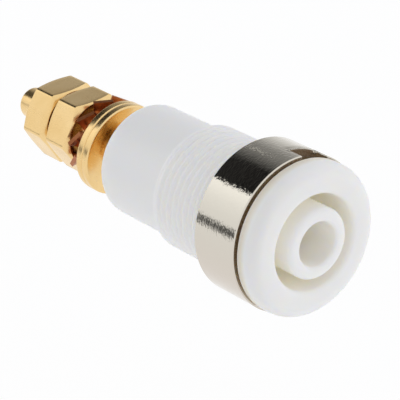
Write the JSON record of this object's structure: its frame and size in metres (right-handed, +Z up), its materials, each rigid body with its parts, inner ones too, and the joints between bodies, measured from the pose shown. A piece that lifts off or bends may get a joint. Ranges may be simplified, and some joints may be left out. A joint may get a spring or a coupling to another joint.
{
  "type": "banana socket",
  "caption": "Shrouded panel-mount banana socket: white insulator with a guard tube and threaded barrel, slotted nickel ring nut, gold contact with a nutted terminal stud.",
  "frame": {"origin": "centre of the collar's rear face, which seats on the front of the panel", "axes": "+Y along the socket's axis, the way the plug goes in; the front face looks along -Y; +Z up"},
  "size_m": [0.0144, 0.0431, 0.0144],
  "materials": {
    "insulator_plastic": "white moulded plastic, satin",
    "gold_plate": "gold plating on turned brass",
    "nickel_plate": "polished nickel plating",
    "bronze": "copper-coloured bronze sheet"
  },
  "bodies": {
    "socket_body": {"insulator": "insulator_plastic", "contact": "gold_plate", "front_washer": "gold_plate", "rear_washer": "gold_plate", "lock_washer": "bronze"},
    "panel_nut": {"ring_nut": "nickel_plate"},
    "clamp_nut": {"inner_nut": "gold_plate"},
    "terminal_nut": {"outer_nut": "gold_plate"}
  },
  "joints": [
    {"name": "ring_nut_travel", "type": "slide", "parent": "socket_body", "child": "panel_nut", "axis": [0, 1, 0], "range_m": [-0.00015, 0.0075]},
    {"name": "inner_nut_travel", "type": "slide", "parent": "socket_body", "child": "clamp_nut", "axis": [0, 1, 0], "range_m": [0, 0.00015]},
    {"name": "outer_nut_travel", "type": "slide", "parent": "socket_body", "child": "terminal_nut", "axis": [0, 1, 0], "range_m": [-0.00015, 0.002]}
  ]
}
